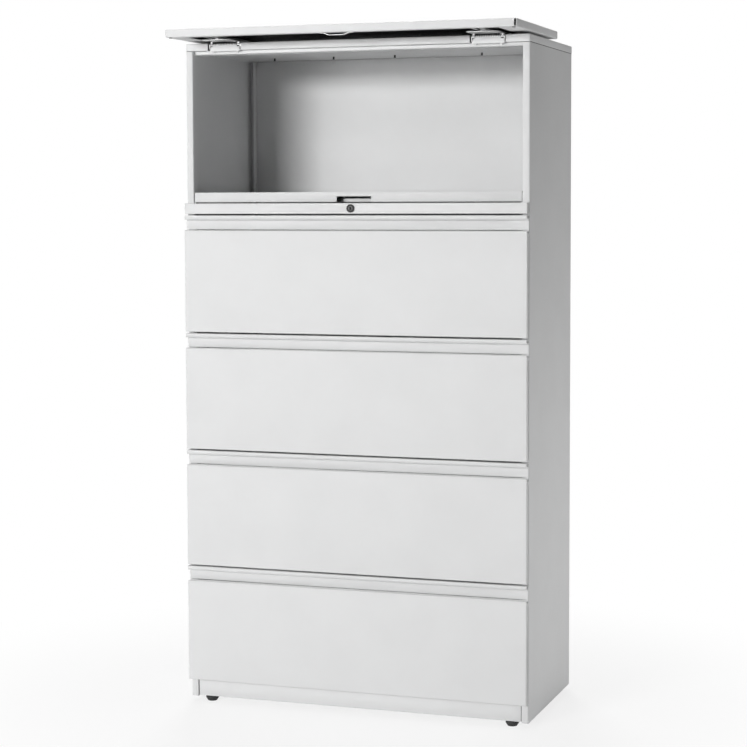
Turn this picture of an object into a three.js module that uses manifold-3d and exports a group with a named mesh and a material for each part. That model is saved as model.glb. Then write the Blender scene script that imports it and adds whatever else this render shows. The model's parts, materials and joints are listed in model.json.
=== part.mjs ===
// Lateral filing cabinet: four full-width drawers, a locking rail, a roll-out shelf
// and a door that flips up and slides back over the top.
// Millimetres, +Z up, +Y to the back, +X to the right seen from the front.
// The origin is on the floor, under the middle of the outline with the door open.

import * as THREE from 'three';
import { mergeVertices } from 'three/addons/utils/BufferGeometryUtils.js';
import Module from 'manifold-3d';

const wasm = await Module();
wasm.setup();

// Case
const caseWidth = 914.4;
const caseDepth = 437;
const sheet = 1.2;
const bend = 2;
const seam = 0.3;
const edgeWidth = 18.4;
const edgeLip = 25;
const cornerRadius = 4;
const capHeight = 18.5;
const capRadius = 2.5;
const capReveal = 1.6;
const revealDepth = 0.7;
const channelDrop = 9.5;
const channelSetback = 13;
const channelDepth = 40;
const channelLip = 12;

// Heights from the floor up
const glideHeight = 14;
const toeHeight = 49;
const drawerCount = 4;
const drawerPitch = 304.8;
const railHeight = 27;
const bayHeight = 410;
const toeSetback = 3;
const toeGap = 2;
const toeLift = 2.3;
const toeLip = 22;
const baseRise = 8;
const baseWall = 30;

// Fronts
const frontProud = 22;
const frontBack = 3.5;
const frontReveal = 0.5;
const frontGap = 4;
const frontRadius = 3.5;
const frontReturn = 13;
const ribCount = 4;
const ribInset = 60;
const pullHeight = 27;
const pullLip = 11;
const pullWall = 2;
const pullTrough = 9;
const pullHem = 6;
const pullSlot = 1.8;
const pullBridge = 6;

// Drawer trays and file bars
const trayFloor = 10;
const trayHeadroom = 8;
const trayRear = 12;
const barThickness = 2.5;
const barHeight = 18;
const barSeat = 12;
const barFront = 45;
const barSpan = 311;

// Telescopic slides
const slideSpace = 13.3;
const slideSteel = 1.4;
const slideHeight = 38;
const slideRise = 100;
const shelfSlideHeight = 21;
const runGap = 0.6;
const postSteel = 2.2;
const postWidth = 20;
const postInset = 3;
const runnerInset = 10;

// Roll-out shelf
const shelfRise = 2.8;
const shelfLip = 25;
const shelfSetback = 2;
const shelfGap = 2;
const notchWidth = 92;
const notchHeight = 14;
const notchDepth = 30;
const strikeHeight = 8.7;
const strikeDepth = 28;

// Door and its hinges
const doorThickness = 20;
const doorFingerGap = 3;
const doorOverhang = 127;
const doorRise = 7;
const doorEndLip = 20;
const doorSideLip = 50;
const doorCore = 9.3;
const doorSlot = 5;
const doorRadius = 2.5;
const pinToDoor = 10.7;
const pinRadius = 2.4;
const hingeInset = 107.2;
const hingeWidth = 86;
const hingePlate = 2;
const hingeDepth = 36;
const hingeFoot = 6;
const hingeFootInset = 10;
const notchClear = 2.7;
const springRadius = 3.6;
const springWire = 0.8;
const springPitch = 4.4;
const knuckleWidth = 6;
const knuckleRadius = 4.8;
const leafSteel = 2.3;
const leafGap = 1.8;
const leafReach = 64;
const trackWidth = 28;
const trackHeight = 9;
const shoeLength = 40;
const neckWidth = 10;
const bumperRadius = 5;
const bumperInset = 12;
const pullBowWidth = 66;
const pullBowDrop = 5.5;
const pullBowDepth = 10;

// Lock
const lockRadius = 10.5;
const barrelRadius = 8.8;
const plugRadius = 6;
const lockProud = 3;
const camThrow = 9;
const camPin = 1.9;
const slotPlay = 0.7;
const linkSteel = 2.8;
const linkHeight = 12;
const lockLift = 8;
const lockBarWidth = 10;
const lockBarSteel = 2.5;
const tabHeight = 6;
const catchDrop = 66;
const catchHeight = 8;

// Glides
const glideRadius = 17;
const stemRadius = 5;
const glideInset = 48;
const glideSetback = 25;

// Places that follow from those sizes
const halfCase = caseWidth / 2;
const halfOpening = halfCase - edgeWidth;
const halfFront = halfCase - frontReveal;
const zCase = glideHeight;
const zDrawers = zCase + toeHeight;
const zRail = zDrawers + drawerCount * drawerPitch;
const zBay = zRail + railHeight;
const zTop = zBay + bayHeight;
const zCap = zTop - capHeight;
const yRear = caseDepth - sheet - seam;
const yFace = -frontProud;
const faceHeight = drawerPitch - frontGap - pullLip - pullHeight;
const postFace = halfOpening - seam - postSteel;
const trayHalf = halfOpening - slideSpace;
const trayTop = faceHeight - trayHeadroom;
const trayFront = -frontBack + seam;
const trayBack = caseDepth - trayRear;
const doorHeight = bayHeight - doorFingerGap;
const doorFront = -doorOverhang;
const doorBack = doorFront + doorHeight;
const zDoor = zTop + doorRise;
const yPin = pinToDoor - (frontProud - doorThickness);
const zPin = zDoor - pinToDoor;
const doorTravel = doorBack - yPin - (zTop - zPin);

const paint = new THREE.MeshStandardMaterial({ color: 0xdcdddd, roughness: 0.45, metalness: 0 });
const darkPaint = new THREE.MeshStandardMaterial({ color: 0x3a3b3c, roughness: 0.7, metalness: 0 });
const zinc = new THREE.MeshStandardMaterial({ color: 0xc4c7c9, roughness: 0.35, metalness: 1 });
const springSteel = new THREE.MeshStandardMaterial({ color: 0xa9adb0, roughness: 0.3, metalness: 1 });
const lockMetal = new THREE.MeshStandardMaterial({ color: 0x6a6b6d, roughness: 0.3, metalness: 1 });
const rubber = new THREE.MeshStandardMaterial({ color: 0x17181a, roughness: 0.8, metalness: 0 });

// Solids

const vector = ([u, v]) => new THREE.Vector2(u, v);

// A block between two stations on each axis.
const box = (x, y, z) => {
  const geometry = new THREE.BoxGeometry();
  const corners = geometry.attributes.position;
  const pick = (value, [low, high]) => (value > 0 ? high : low);
  for (let i = 0; i < corners.count; i += 1) {
    corners.setXYZ(i, pick(corners.getX(i), x), pick(corners.getY(i), y), pick(corners.getZ(i), z));
  }
  return geometry;
};

// Extrudes an outline between two stations. The outline is (y, z) along X, (x, z) along Y
// and (x, y) along Z.
const prism = (axis, outline, from, to, holes = []) => {
  const shape = new THREE.Shape(outline.map(vector));
  shape.holes = holes.map((hole) => new THREE.Path(hole.map(vector)));
  const geometry = new THREE.ExtrudeGeometry(shape, { depth: 1, bevelEnabled: false });
  const corners = geometry.attributes.position;
  for (let i = 0; i < corners.count; i += 1) {
    const u = corners.getX(i);
    const v = corners.getY(i);
    const high = corners.getZ(i) > 0.5;
    if (axis === 'x') corners.setXYZ(i, high ? to : from, u, v);
    if (axis === 'y') corners.setXYZ(i, u, high ? from : to, v);
    if (axis === 'z') corners.setXYZ(i, u, v, high ? to : from);
  }
  return geometry;
};

// Rounds the corners of an outline that carry a radius as a third number.
const soften = (points, closed = true, steps = 3) => points.flatMap(([u, v, radius = 0], i) => {
  const last = points.length - 1;
  if (!radius || (!closed && (i === 0 || i === last))) return [[u, v]];
  const corner = new THREE.Vector2(u, v);
  const before = vector(points[i === 0 ? last : i - 1]).sub(corner).normalize();
  const after = vector(points[i === last ? 0 : i + 1]).sub(corner).normalize();
  const half = Math.acos(THREE.MathUtils.clamp(before.dot(after), -1, 1)) / 2;
  const centre = before.clone().add(after).normalize().multiplyScalar(radius / Math.sin(half)).add(corner);
  const first = before.multiplyScalar(radius / Math.tan(half)).add(corner).sub(centre);
  const end = after.multiplyScalar(radius / Math.tan(half)).add(corner).sub(centre);
  const sweep = Math.atan2(first.cross(end), first.dot(end));
  return Array.from({ length: steps + 1 }, (_, k) => {
    const arm = first.clone().rotateAround(new THREE.Vector2(), (sweep * k) / steps);
    return [centre.x + arm.x, centre.y + arm.y];
  });
});

// Bends a strip of sheet along a line: the line is one face and the metal lies to its left.
// A point's third number is the radius of its bend.
const fold = (line, radius = bend, thickness = sheet) => {
  const face = soften(line.map(([u, v, own = radius]) => [u, v, own]), false);
  const left = face.map((point, i) => {
    const here = vector(point);
    const into = here.clone().sub(vector(face[Math.max(i - 1, 0)])).normalize();
    const out = vector(face[Math.min(i + 1, face.length - 1)]).sub(here).normalize();
    const ways = [into, out].filter((way) => way.length() > 0.5);
    const normals = ways.map((way) => new THREE.Vector2(-way.y, way.x));
    const mean = normals.reduce((sum, n) => sum.add(n), new THREE.Vector2()).normalize();
    const across = new THREE.Vector2(-ways[0].y, ways[0].x);
    const shift = mean.clone().multiplyScalar(thickness / mean.dot(across));
    return [here.x + shift.x, here.y + shift.y];
  });
  return [...face, ...left.reverse()];
};

const circle = (u, v, radius, sides = 16) => Array.from({ length: sides }, (_, k) => {
  const angle = (2 * Math.PI * (k + 0.5)) / sides;
  return [u + radius * Math.cos(angle), v + radius * Math.sin(angle)];
});

// A slot or link outline round two centres.
const capsule = (a, b, radiusA, radiusB = radiusA, steps = 6) => {
  const along = Math.atan2(b[1] - a[1], b[0] - a[0]);
  const ends = [[b, radiusB, along - Math.PI / 2], [a, radiusA, along + Math.PI / 2]];
  return ends.flatMap(([[u, v], radius, start]) => Array.from({ length: steps + 1 }, (_, k) => {
    const angle = start + (Math.PI * k) / steps;
    return [u + radius * Math.cos(angle), v + radius * Math.sin(angle)];
  }));
};

// Turns a closed profile of (radius, height) about the Y axis.
const revolve = (profile, sides = 16) => {
  const points = [...profile, profile[0]].map(vector);
  return new THREE.LatheGeometry(points, sides);
};

const solid = (geometry) => {
  const bare = geometry.clone();
  bare.deleteAttribute('normal');
  bare.deleteAttribute('uv');
  const merged = mergeVertices(bare, 1e-4);
  const corners = Array.from(merged.index.array);
  const kept = [];
  for (let i = 0; i < corners.length; i += 3) {
    const [a, b, c] = corners.slice(i, i + 3);
    if (a !== b && b !== c && c !== a) kept.push(a, b, c);
  }
  const vertProperties = new Float32Array(merged.attributes.position.array);
  const triVerts = new Uint32Array(kept);
  return new wasm.Manifold(new wasm.Mesh({ numProp: 3, vertProperties, triVerts }));
};

const geometryOf = (manifold) => {
  const mesh = manifold.getMesh();
  const geometry = new THREE.BufferGeometry();
  geometry.setAttribute('position', new THREE.BufferAttribute(new Float32Array(mesh.vertProperties), 3));
  geometry.setIndex(new THREE.BufferAttribute(new Uint32Array(mesh.triVerts), 1));
  geometry.computeVertexNormals();
  return geometry;
};

const join = (...pieces) => geometryOf(pieces.map(solid).reduce((whole, piece) => whole.add(piece)));

const cut = (piece, ...tools) => geometryOf(
  tools.map(solid).reduce((whole, tool) => whole.subtract(tool), solid(piece)),
);

// A cutter that rounds the edge along an axis at a corner of an outline. The signs say which way
// the metal lies from that corner.
const rounder = (axis, [u, v], [toU, toV], radius, from, to) => {
  const line = [[u + 2 * toU * radius, v], [u, v, radius], [u, v + 2 * toV * radius]];
  const arc = soften(line, false).slice(1, -1);
  const past = [[u - toU, v + toV * radius], [u - toU, v - toV], [u + toU * radius, v - toV]];
  return prism(axis, [...arc, ...past], from, to);
};

const mirrored = (outline, side) => outline.map(([x, v]) => [side * x, v]);

const span = (a, b) => [Math.min(a, b), Math.max(a, b)];

// A round wire along points, with flat ends.
const wire = (points, radius, sides = 5) => {
  const positions = [];
  const index = [];
  const last = points.length - 1;
  let normal = new THREE.Vector3(1, 0, 0);
  points.forEach((point, i) => {
    const ahead = points[Math.min(i + 1, last)].clone().sub(points[Math.max(i - 1, 0)]).normalize();
    normal = normal.sub(ahead.clone().multiplyScalar(normal.dot(ahead))).normalize();
    const across = ahead.clone().cross(normal);
    for (let k = 0; k < sides; k += 1) {
      const angle = (2 * Math.PI * k) / sides;
      const out = normal.clone().multiplyScalar(Math.cos(angle)).addScaledVector(across, Math.sin(angle));
      positions.push(...point.clone().addScaledVector(out, radius).toArray());
    }
  });
  for (let i = 0; i < last; i += 1) {
    for (let k = 0; k < sides; k += 1) {
      const a = i * sides + k;
      const b = i * sides + ((k + 1) % sides);
      index.push(a, b, b + sides, a, b + sides, a + sides);
    }
  }
  for (let k = 1; k < sides - 1; k += 1) {
    index.push(0, k + 1, k);
    index.push(last * sides, last * sides + k, last * sides + k + 1);
  }
  const geometry = new THREE.BufferGeometry();
  geometry.setAttribute('position', new THREE.Float32BufferAttribute(positions, 3));
  geometry.setIndex(index);
  return geometry;
};

const cabinet = new THREE.Group();
cabinet.position.y = -(doorFront + caseDepth) / 2;

const add = (name, geometry, material, parent = cabinet) => {
  const mesh = new THREE.Mesh(geometry, material);
  mesh.name = name;
  parent.add(mesh);
};

// Lock linkage: the key turns a cam, its pin pushes a link sideways, and a sloping slot in the
// link lifts the bar that stands in the right side's hollow front edge.
const zLock = zRail + railHeight / 2;
const camReach = camThrow * Math.SQRT1_2;
const linkTravel = 2 * camReach;
const yCam = 8;
const camSteel = 2.5;
const yLink = [yCam + camSteel + 2.4, yCam + camSteel + 2.4 + linkSteel];
const yLockBar = [yLink[1] + 0.5, yLink[1] + 0.5 + lockBarSteel];
const zLink = [zLock - camThrow - camPin - slotPlay - 1.6, 0];
zLink[1] = zLink[0] + linkHeight;
const followerPin = 2;
const xFollower = halfOpening - 0.8;
const zFollower = zLink[0] + 5.5;
const linkEnd = xFollower + followerPin + slotPlay + 2;
const xLockBar = [halfOpening + 4.2, halfOpening + 4.2 + lockBarWidth];
const zCatch = trayTop - catchDrop;
const zTab = zCatch - 2 - tabHeight;
const yWindow = [yLink[0] - 1.3, yLockBar[1] + 2];
const linkWindow = [zLink[0] - 3, zBay - 2.5];
const tabWindow = [zTab - 3, zTab + tabHeight + lockLift + 3];
const zDrawer = (i) => zDrawers + i * drawerPitch;
const drawerIndexes = Array.from({ length: drawerCount }, (_, i) => i);

const lockWindows = (x) => [
  box(x, yWindow, linkWindow),
  ...drawerIndexes.map((i) => box(x, yWindow, tabWindow.map((z) => zDrawer(i) + z))),
];

// Case

const sidePanel = (side) => {
  const line = [
    [halfOpening, edgeLip],
    [halfOpening, 0],
    [halfCase, 0, cornerRadius],
    [halfCase, yRear],
    [halfOpening, yRear],
    [halfOpening, yRear - edgeLip],
  ];
  const reveal = prism('z', mirrored([
    [halfCase - revealDepth, -1],
    [halfCase + 1, -1],
    [halfCase + 1, caseDepth],
    [halfCase - revealDepth, caseDepth],
  ], side), zCap - seam - capReveal, zCap + 1);
  const windows = side > 0 ? lockWindows([halfOpening - 1, halfOpening + sheet + 1]) : [];
  return cut(prism('z', mirrored(fold(line), side), zCase, zCap - seam), reveal, ...windows);
};

add('left_side_panel', sidePanel(-1), paint);
add('right_side_panel', sidePanel(1), paint);

const backHalf = halfCase - 0.7;
const backSheet = [caseDepth - sheet, caseDepth];
add('back_panel', box([-backHalf, backHalf], backSheet, [zCase + 1, zCap - seam]), paint);

const hingePlaces = [hingeInset - halfCase, halfCase - hingeInset];
const notchHalf = hingeWidth / 2 + notchClear;
const notchBack = yPin + hingeDepth + notchClear;
const capInner = halfCase - sheet;
const topPanel = cut(
  box([-halfCase, halfCase], [0, caseDepth], [zCap, zTop]),
  box([-capInner, capInner], [sheet, caseDepth - sheet], [zCap + sheet, zTop - sheet]),
  ...hingePlaces.map((x) => box([x - notchHalf, x + notchHalf], [-1, notchBack], [zCap - 1, zTop + 1])),
  ...[-1, 1].flatMap((side) => [
    rounder('z', [side * halfCase, 0], [-side, 1], cornerRadius, zCap - 1, zTop + 1),
    rounder('y', [side * halfCase, zTop], [-side, -1], capRadius, -1, caseDepth + 1),
  ]),
  rounder('x', [0, zTop], [1, -1], capRadius, -halfCase - 1, halfCase + 1),
  rounder('x', [caseDepth, zTop], [-1, -1], capRadius, -halfCase - 1, halfCase + 1),
);
add('top_panel', topPanel, paint);

const zChannel = zCap - seam;
const channelLine = [
  [channelSetback + channelLip, zChannel - channelDrop],
  [channelSetback, zChannel - channelDrop],
  [channelSetback, zChannel],
  [channelSetback + channelDepth, zChannel],
  [channelSetback + channelDepth, zChannel - channelDrop],
];
const channelHalf = halfOpening - seam;
add('top_front_channel', prism('x', fold(channelLine.reverse()), -channelHalf, channelHalf), paint);

const glideX = halfCase - glideInset;
const glidePlaces = [
  ['front_left_glide', -glideX, glideSetback],
  ['front_right_glide', glideX, glideSetback],
  ['rear_left_glide', -glideX, yRear - glideSetback],
  ['rear_right_glide', glideX, yRear - glideSetback],
];

const zBase = zCase + baseRise;
const baseHalf = halfOpening - seam;
const baseFront = toeSetback + sheet + seam;
const baseLine = [
  [baseFront, zBase + baseWall],
  [baseFront, zBase],
  [yRear - sheet - seam, zBase],
  [yRear - sheet - seam, zBase + baseWall],
];
const bossHeight = 10;
const bossRadius = 9;
const bossTop = zBase + bossHeight;
const basePan = cut(
  join(
    prism('x', fold(baseLine), -baseHalf, baseHalf),
    ...glidePlaces.map(([, x, y]) => prism('z', circle(x, y, bossRadius, 6), zBase + 0.2, bossTop)),
  ),
  ...glidePlaces.map(([, x, y]) => prism('z', circle(x, y, stemRadius + 0.4, 12), zBase - 1, bossTop + 1)),
);
add('base_pan', basePan, paint);

const toeLine = [
  [toeSetback + toeLip, zDrawers - 1],
  [toeSetback, zDrawers - 1],
  [toeSetback, zCase + toeLift],
];
const toeHalf = halfOpening - toeGap;
add('toe_kick', prism('x', fold(toeLine), -toeHalf, toeHalf), paint);

for (const [name, x, y] of glidePlaces) {
  const foot = revolve([
    [0, 0],
    [glideRadius - 2, 0],
    [glideRadius, 2],
    [glideRadius, glideHeight * 0.45],
    [glideRadius - 4, glideHeight * 0.65],
    [stemRadius + 4, glideHeight * 0.7],
    [stemRadius + 4, zBase - seam],
    [stemRadius, zBase - seam],
    [stemRadius, bossTop + 4],
    [0, bossTop + 4],
  ]);
  foot.rotateX(Math.PI / 2);
  add(name, foot.translate(x, y, 0), rubber);
}

// Lock rail, with the guides that carry the link behind it

// The upright edges at both ends of the fronts and the rail
const endRounders = (from, to) => [-1, 1].map(
  (side) => rounder('z', [side * halfFront, yFace], [-side, 1], frontRadius, from, to),
);

const railBack = -seam;
const railLine = [
  [railBack, zRail],
  [yFace, zRail],
  [yFace, zBay],
  [railBack, zBay],
];
const tieHalf = postFace - slideSteel / 2 - seam;
const tieDepth = 36;
const guideX = [caseWidth * 0.13, caseWidth * 0.43];
const guideWall = 1;
const guideGap = 0.4;
const guides = guideX.map((x) => cut(
  box(
    [x, x + 5],
    [yLink[0] - guideGap - guideWall, yLink[1] + guideGap + guideWall],
    [zLink[0] - guideGap - guideWall, zBay - sheet / 2],
  ),
  box([x - 1, x + 6], [yLink[0] - guideGap, yLink[1] + guideGap], [zLink[0] - guideGap, zLink[1] + guideGap]),
));
const railEnds = [-1, 1].map((side) => box(
  span(side * (halfFront - frontRadius), side * (halfFront - 0.2)),
  [yFace + sheet / 2, yFace + frontReturn],
  [zRail + sheet / 2, zBay - sheet / 2],
));
const lockRail = cut(
  join(
    prism('x', fold(railLine.reverse()), -halfFront, halfFront),
    ...railEnds,
    box([-tieHalf, tieHalf], [railBack - 4, tieDepth], [zBay - sheet, zBay]),
    box([-tieHalf, tieHalf], [tieDepth - sheet, tieDepth], [zBay - 0.8 * railHeight, zBay - sheet / 2]),
    ...guides,
  ),
  prism('y', circle(0, zLock, barrelRadius + 0.4, 20), yFace - 1, yFace + 3),
  ...endRounders(zRail - 1, zBay + 1),
);
add('lock_rail', lockRail, paint);

const lockFront = yFace - lockProud;
const barrelEnd = yCam - 2;
const plugBore = plugRadius + 0.4;
const barrel = revolve([
  [plugBore, lockFront],
  [lockRadius - 1.2, lockFront],
  [lockRadius, lockFront + 1.2],
  [lockRadius, yFace - seam],
  [barrelRadius, yFace - seam],
  [barrelRadius, barrelEnd],
  [plugBore, barrelEnd],
], 20);
add('lock_barrel', barrel.translate(0, 0, zLock), lockMetal);

const stubRadius = 4;
const plugFront = lockFront + 0.5;
const plug = cut(
  revolve([
    [0, plugFront],
    [plugRadius, plugFront],
    [plugRadius, yCam - seam],
    [stubRadius, yCam - seam],
    [stubRadius, yCam + camSteel + 1],
    [0, yCam + camSteel + 1],
  ]),
  box([-0.8, 0.8], [plugFront - 1, plugFront + 7], [-3.6, 3.6]),
);
add('lock_plug', plug.translate(0, 0, zLock), lockMetal);

const camTip = [-camReach, zLock - camReach];
const cam = join(
  prism('y', capsule([0, zLock], camTip, 7, 4), yCam, yCam + camSteel, [circle(0, zLock, stubRadius + seam)]),
  prism('y', circle(...camTip, camPin, 12), yCam + 0.5, yLink[1] + 0.3),
);
add('lock_cam', cam, zinc);

const slotHalf = camPin + slotPlay;
const zSlot = [zLock - camThrow - camPin - slotPlay, zLock - camReach + camPin + slotPlay];
const slopeTop = [xFollower - linkTravel, zFollower + lockLift];
const plateLeft = slopeTop[0] - followerPin - slotPlay - 2.5;
const lockLink = cut(
  join(
    box([-camReach - slotHalf - 6, linkEnd], yLink, zLink),
    box([plateLeft, linkEnd], yLink, [zLink[0], slopeTop[1] + followerPin + slotPlay + 2]),
  ),
  box([-camReach - slotHalf, -camReach + slotHalf], [yLink[0] - 1, yLink[1] + 1], zSlot),
  prism('y', capsule([xFollower, zFollower], slopeTop, followerPin + 0.5), yLink[0] - 1, yLink[1] + 1),
);
add('lock_link', lockLink, zinc);

const armHeight = 11.5;
const tabReach = trayHalf + 4;
const lockBar = join(
  box(xLockBar, yLockBar, [zDrawer(0) + zTab - 20, zFollower + armHeight - 3]),
  box([xFollower - 5, xLockBar[0] + 1], yLockBar, [zFollower - 4, zFollower + armHeight - 4]),
  prism('y', circle(xFollower, zFollower, followerPin, 12), yLink[0] - 0.2, yLockBar[0] + 0.5),
  ...drawerIndexes.map((i) => box(
    [tabReach, xLockBar[0] + 1],
    yLockBar,
    [zDrawer(i) + zTab, zDrawer(i) + zTab + tabHeight],
  )),
);
add('lock_bar', lockBar, zinc);

// Telescopic slides: three nested channels, each open towards the drawer

const runnerWeb = postFace - slideSteel - runGap;
const innerWeb = runnerWeb - slideSteel - runGap;
const slideOpen = trayHalf + 2 * runGap;
const slideY = [postInset, yRear - sheet - seam - postInset];

const slideChannel = (side, web, open, half, y, z) => prism('y', mirrored([
  [open, z - half],
  [web, z - half],
  [web, z + half],
  [open, z + half],
  [open, z + half - slideSteel],
  [web - slideSteel, z + half - slideSteel],
  [web - slideSteel, z - half + slideSteel],
  [open, z - half + slideSteel],
], side), ...y);

const runner = (side, height, z, [front, back]) => {
  const y = [front + runnerInset, back - runnerInset];
  return slideChannel(side, runnerWeb, slideOpen, height / 2 - slideSteel - runGap, y, z);
};

const innerMember = (side, height, z, y) => {
  const half = height / 2 - 2 * (slideSteel + runGap);
  return slideChannel(side, innerWeb, trayHalf - sheet / 2, half, y, z);
};

const drawerSlide = trayFloor + slideRise;
const zShelf = zBay + shelfRise;
const shelfTop = zShelf + shelfLip;
const shelfSlide = zShelf + shelfLip / 2 - sheet / 2;
const shelfSlideY = [shelfSetback + sheet + 2, slideY[1]];

const slideRack = (side) => {
  const x = span(side * (postFace - slideSteel / 2), side * (halfOpening - seam));
  const zPosts = [zDrawers + drawerSlide - slideHeight, shelfSlide + shelfSlideHeight / 2];
  const frontPost = cut(
    box(x, [slideY[0], slideY[0] + postWidth], zPosts),
    box([x[0] - 1, x[1] + 1], [slideY[0] - 1, shelfSlideY[0]], [zBay, zPosts[1] + 1]),
  );
  const rack = join(
    frontPost,
    box(x, [slideY[1] - postWidth, slideY[1]], zPosts),
    slideChannel(side, postFace, slideOpen, shelfSlideHeight / 2, shelfSlideY, shelfSlide),
    ...drawerIndexes.map((i) => slideChannel(
      side,
      postFace,
      slideOpen,
      slideHeight / 2,
      slideY,
      zDrawer(i) + drawerSlide,
    )),
  );
  return side > 0 ? cut(rack, ...lockWindows([x[0] - 1, x[1] + 1])) : rack;
};

add('left_slide_rack', slideRack(-1), zinc);
add('right_slide_rack', slideRack(1), zinc);

// Drawers

const frontOutline = soften([
  [-frontBack, 0],
  [yFace, 0, bend],
  [yFace, faceHeight, frontRadius],
  [yFace + pullHem, faceHeight, 1.5],
  [yFace + pullHem, faceHeight - pullTrough + 3, 3],
  [-frontBack - pullWall, faceHeight - pullTrough, 3],
  [-frontBack - pullWall, faceHeight + pullHeight, 4],
  [yFace + 4, faceHeight + pullHeight],
  [yFace, faceHeight + pullHeight + 4, 4],
  [yFace, drawerPitch - frontGap, bend],
  [-frontBack, drawerPitch - frontGap],
]);
const frontInner = halfFront - frontRadius;
const troughFloor = faceHeight - pullTrough - sheet - 1.5;
const lipFloor = faceHeight + pullHeight + 3;
const pullSlotHalf = halfFront - pullBridge;
const pastEnds = [-halfFront - 1, halfFront + 1];
const ribSpan = halfFront - ribInset;
const ribPlaces = Array.from({ length: ribCount }, (_, k) => ribSpan * ((2 * k) / (ribCount - 1) - 1));
const drawerFront = join(
  cut(
    prism('x', frontOutline, -halfFront, halfFront),
    box([-frontInner, frontInner], [yFace + sheet, 0], [sheet, troughFloor]),
    box(pastEnds, [yFace + frontReturn, 0], [sheet + 0.5, troughFloor - 0.5]),
    box(pastEnds, [yFace + sheet + 3, 0], [lipFloor, drawerPitch - frontGap - sheet]),
    box([-pullSlotHalf, pullSlotHalf], [-frontBack - pullWall - 1, 0], [faceHeight, faceHeight + pullSlot]),
    ...endRounders(-1, drawerPitch),
  ),
  ...ribPlaces.map((x) => box(
    [x - sheet / 2, x + sheet / 2],
    [yFace + sheet / 2, -frontBack],
    [sheet / 2, troughFloor + 1],
  )),
);

const trayInner = trayHalf - sheet;
const memberY = [slideY[0] + 2, slideY[1] - 2 * runnerInset];
const barY = [barFront, barFront + barSpan];
const tray = cut(
  join(
    cut(
      box([-trayHalf, trayHalf], [trayFront, trayBack], [trayFloor, trayTop]),
      box([-trayInner, trayInner], [trayFront + sheet, trayBack - sheet], [trayFloor + sheet, trayTop + 1]),
    ),
    innerMember(-1, slideHeight, drawerSlide, memberY),
    innerMember(1, slideHeight, drawerSlide, memberY),
    box(
      [trayHalf - sheet / 2, trayHalf + 6.5],
      [yLockBar[1] + 2, yLockBar[1] + 8],
      [zCatch, zCatch + catchHeight],
    ),
  ),
  ...barY.map((y) => box(
    [-trayHalf - 1, trayHalf + 1],
    [y - barThickness / 2 - seam, y + barThickness / 2 + seam],
    [trayTop - barSeat - seam, trayTop + 1],
  )),
);

const fileBar = (y) => {
  const shoulder = trayInner - 0.8;
  const zBar = [trayTop - barSeat, trayTop - barSeat + barHeight];
  const drop = 6;
  const outline = [
    [-trayHalf, zBar[0]],
    [-shoulder, zBar[0]],
    [-shoulder, zBar[0] - drop],
    [shoulder, zBar[0] - drop],
    [shoulder, zBar[0]],
    [trayHalf, zBar[0]],
    [trayHalf, zBar[1], 3],
    [-trayHalf, zBar[1], 3],
  ];
  return prism('y', soften(outline), y - barThickness / 2, y + barThickness / 2);
};

for (const i of drawerIndexes) {
  const name = `drawer_${drawerCount - i}`;
  const drawer = new THREE.Group();
  drawer.position.z = zDrawer(i);
  cabinet.add(drawer);
  add(`${name}_front`, drawerFront, paint, drawer);
  add(`${name}_tray`, tray, paint, drawer);
  add(`${name}_front_file_bar`, fileBar(barY[0]), zinc, drawer);
  add(`${name}_rear_file_bar`, fileBar(barY[1]), zinc, drawer);
  add(`${name}_left_runner`, runner(-1, slideHeight, drawerSlide, slideY), zinc, drawer);
  add(`${name}_right_runner`, runner(1, slideHeight, drawerSlide, slideY), zinc, drawer);
}

// Roll-out shelf

const shelfHalf = halfOpening - shelfGap;
const shelfWeb = [trayHalf - sheet, trayHalf];
const shelfBack = trayBack;
const shelfMembers = [slideY[0] + 2 * runnerInset, slideY[1] - 2 * runnerInset];
const half = sheet / 2;
const shelfWalls = [shelfSetback + half, shelfBack - half];
const yStrike = shelfSetback + notchDepth;
const strikeLine = [
  [yStrike + strikeDepth, shelfTop - half],
  [yStrike + strikeDepth, zShelf + strikeHeight],
  [yStrike, zShelf + strikeHeight],
  [yStrike, zShelf],
];
const shelf = cut(
  join(
    box([-shelfHalf, shelfHalf], [shelfSetback, shelfBack], [shelfTop - sheet, shelfTop]),
    box([-shelfHalf, shelfHalf], [shelfSetback, shelfSetback + sheet], [zShelf, shelfTop - half]),
    box(
      [-shelfWeb[0] - half, shelfWeb[0] + half],
      [shelfBack - sheet, shelfBack],
      [zShelf + 2, shelfTop - half],
    ),
    box(shelfWeb, shelfWalls, [zShelf + 1, shelfTop - half]),
    box([-shelfWeb[1], -shelfWeb[0]], shelfWalls, [zShelf + 1, shelfTop - half]),
    prism('x', fold(strikeLine), -notchWidth / 2, notchWidth / 2),
    innerMember(-1, shelfSlideHeight, shelfSlide, shelfMembers),
    innerMember(1, shelfSlideHeight, shelfSlide, shelfMembers),
  ),
  box(
    [-notchWidth / 2, notchWidth / 2],
    [shelfSetback - 1, shelfSetback + sheet + 1],
    [zShelf - 1, zShelf + notchHeight],
  ),
);
add('roll_out_shelf', shelf, paint);
add('shelf_left_runner', runner(-1, shelfSlideHeight, shelfSlide, shelfSlideY), zinc);
add('shelf_right_runner', runner(1, shelfSlideHeight, shelfSlide, shelfSlideY), zinc);

// Door, open: a folded pan with a core sheet, tracks and bumpers on its inner side

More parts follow.
